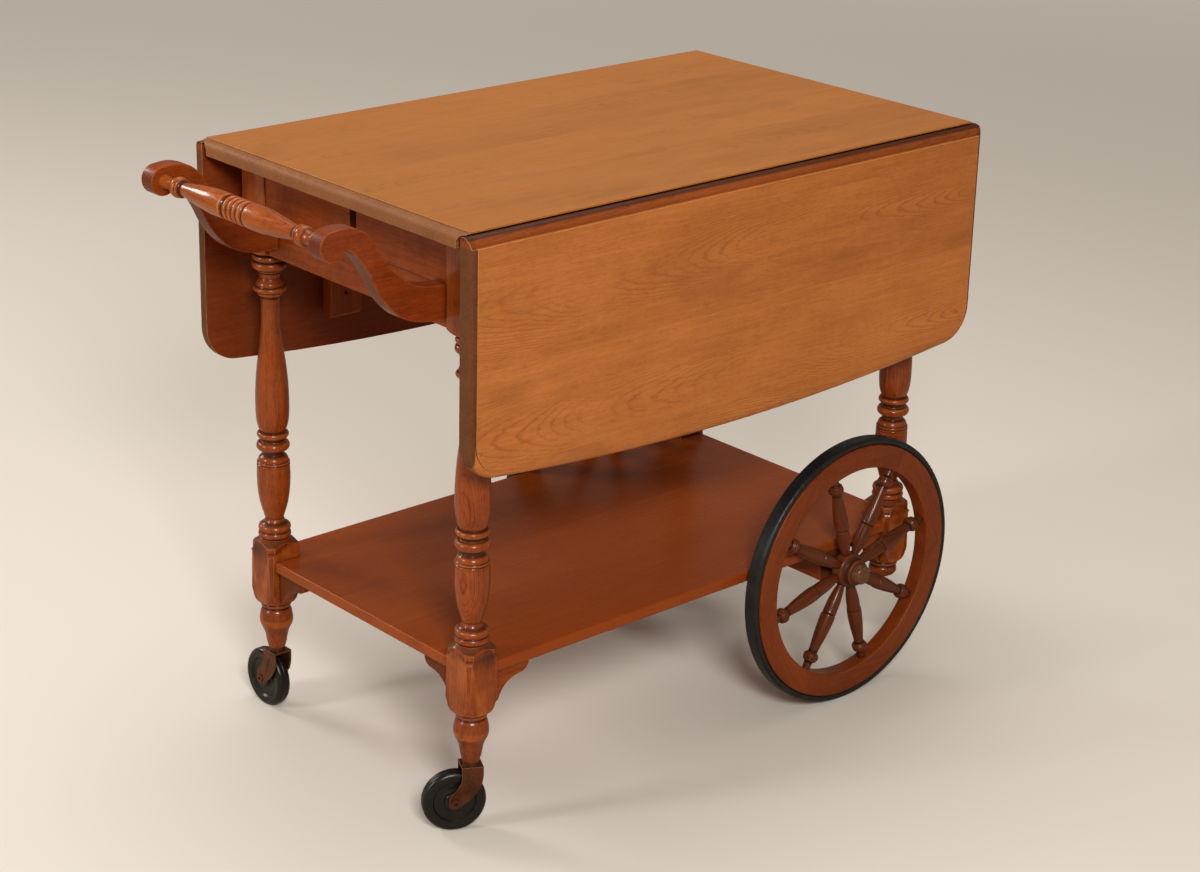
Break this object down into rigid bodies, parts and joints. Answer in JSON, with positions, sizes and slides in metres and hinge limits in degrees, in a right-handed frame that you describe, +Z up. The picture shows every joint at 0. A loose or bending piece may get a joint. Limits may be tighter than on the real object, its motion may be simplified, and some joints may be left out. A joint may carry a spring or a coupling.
{
  "type": "drop leaf tea trolley",
  "caption": "Drop leaf tea trolley of turned maple with a lower shelf, a spindle push handle, spoked rear wheels and swivel front casters.",
  "frame": {"origin": "floor level, at the middle of the trolley's bounding box", "axes": "+X from the handle towards the wheel end, +Y towards the far side, +Z up"},
  "size_m": [0.9446, 0.5192, 0.7426],
  "materials": {
    "top_wood": "golden brown satin lacquer on maple",
    "frame_wood": "orange brown satin lacquer on turned maple",
    "shelf_wood": "red brown satin lacquer on maple",
    "wheel_wood": "red brown satin lacquer on turned maple",
    "tyre_rubber": "charcoal rubber",
    "caster_black": "black moulded",
    "caster_metal": "brown lacquered steel",
    "bright_steel": "plain steel"
  },
  "bodies": {
    "frame": {"top_panel": "top_wood", "leg_front_near": "frame_wood", "leg_front_far": "frame_wood", "leg_rear_near": "frame_wood", "leg_rear_far": "frame_wood", "side_rail_near": "frame_wood", "side_rail_far": "frame_wood", "end_rail_lower": "frame_wood", "end_rail_upper": "frame_wood", "end_rail_wheels": "frame_wood", "glue_blocks": "frame_wood", "prop_cheeks": "frame_wood", "handle_arm_near": "frame_wood", "handle_arm_far": "frame_wood", "handle_spindle": "frame_wood", "shelf_brackets_front_near": "frame_wood", "shelf_brackets_front_far": "frame_wood", "shelf_brackets_rear_near": "frame_wood", "shelf_brackets_rear_far": "frame_wood", "axle_beam": "frame_wood", "lower_shelf": "shelf_wood", "hinge_plates_near": "bright_steel", "hinge_plates_far": "bright_steel", "hinge_pins_near": "bright_steel", "hinge_pins_far": "bright_steel", "prop_pins": "bright_steel", "axle": "bright_steel", "caster_socket_near": "caster_metal", "caster_socket_far": "caster_metal"},
    "leaf_near": {"leaf_near": "top_wood", "hinge_flaps_near": "bright_steel", "prop_catches_near": "bright_steel"},
    "prop_near_front": {"prop_near_front": "frame_wood"},
    "prop_near_rear": {"prop_near_rear": "frame_wood"},
    "wheel_near": {"wheel_hub_near": "wheel_wood", "wheel_spokes_near": "wheel_wood", "wheel_rim_near": "wheel_wood", "wheel_hub_cap_near": "wheel_wood", "wheel_tyre_near": "tyre_rubber"},
    "caster_swivel_near": {"caster_fork_near": "caster_metal", "caster_rivet_near": "caster_metal"},
    "caster_wheel_near": {"caster_wheel_near": "caster_black"},
    "leaf_far": {"leaf_far": "top_wood", "hinge_flaps_far": "bright_steel", "prop_catches_far": "bright_steel"},
    "prop_far_front": {"prop_far_front": "frame_wood"},
    "prop_far_rear": {"prop_far_rear": "frame_wood"},
    "wheel_far": {"wheel_hub_far": "wheel_wood", "wheel_spokes_far": "wheel_wood", "wheel_rim_far": "wheel_wood", "wheel_hub_cap_far": "wheel_wood", "wheel_tyre_far": "tyre_rubber"},
    "caster_swivel_far": {"caster_fork_far": "caster_metal", "caster_rivet_far": "caster_metal"},
    "caster_wheel_far": {"caster_wheel_far": "caster_black"}
  },
  "joints": [
    {"name": "leaf_near_fold", "type": "hinge", "parent": "frame", "child": "leaf_near", "pos_m": [0.05975, -0.244, 0.722], "axis": [-1, 0, 0], "range_deg": [0, 90]},
    {"name": "prop_near_front_swing", "type": "hinge", "parent": "frame", "child": "prop_near_front", "pos_m": [-0.16025, -0.22015, 0.64], "axis": [-1, 0, 0], "range_deg": [0, 118]},
    {"name": "prop_near_rear_swing", "type": "hinge", "parent": "frame", "child": "prop_near_rear", "pos_m": [0.27975, -0.22015, 0.64], "axis": [-1, 0, 0], "range_deg": [0, 118]},
    {"name": "wheel_near_spin", "type": "hinge", "parent": "frame", "child": "wheel_near", "pos_m": [0.29675, -0.2295, 0.1755], "axis": [0, 1, 0], "continuous": true},
    {"name": "caster_near_swivel", "type": "hinge", "parent": "frame", "child": "caster_swivel_near", "pos_m": [-0.28625, -0.1923, 0.09], "axis": [0, 0, 1], "continuous": true},
    {"name": "caster_near_roll", "type": "hinge", "parent": "caster_swivel_near", "child": "caster_wheel_near", "pos_m": [-0.30407, -0.18322, 0.037], "axis": [-0.454, -0.891, 0], "continuous": true},
    {"name": "leaf_far_fold", "type": "hinge", "parent": "frame", "child": "leaf_far", "pos_m": [0.05975, 0.244, 0.722], "axis": [1, 0, 0], "range_deg": [0, 90]},
    {"name": "prop_far_front_swing", "type": "hinge", "parent": "frame", "child": "prop_far_front", "pos_m": [-0.16025, 0.22015, 0.64], "axis": [1, 0, 0], "range_deg": [0, 118]},
    {"name": "prop_far_rear_swing", "type": "hinge", "parent": "frame", "child": "prop_far_rear", "pos_m": [0.27975, 0.22015, 0.64], "axis": [1, 0, 0], "range_deg": [0, 118]},
    {"name": "wheel_far_spin", "type": "hinge", "parent": "frame", "child": "wheel_far", "pos_m": [0.29675, 0.2295, 0.1755], "axis": [0, 1, 0], "continuous": true},
    {"name": "caster_far_swivel", "type": "hinge", "parent": "frame", "child": "caster_swivel_far", "pos_m": [-0.28625, 0.1923, 0.09], "axis": [0, 0, 1], "continuous": true},
    {"name": "caster_far_roll", "type": "hinge", "parent": "caster_swivel_far", "child": "caster_wheel_far", "pos_m": [-0.28625, 0.2123, 0.037], "axis": [-1, 0, 0], "continuous": true}
  ],
  "couplings": [
    {"joint": "prop_near_front_swing", "follows": "leaf_near_fold", "ratio": 1.3088},
    {"joint": "prop_near_rear_swing", "follows": "leaf_near_fold", "ratio": 1.3088},
    {"joint": "prop_far_front_swing", "follows": "leaf_far_fold", "ratio": 1.3088},
    {"joint": "prop_far_rear_swing", "follows": "leaf_far_fold", "ratio": 1.3088}
  ]
}
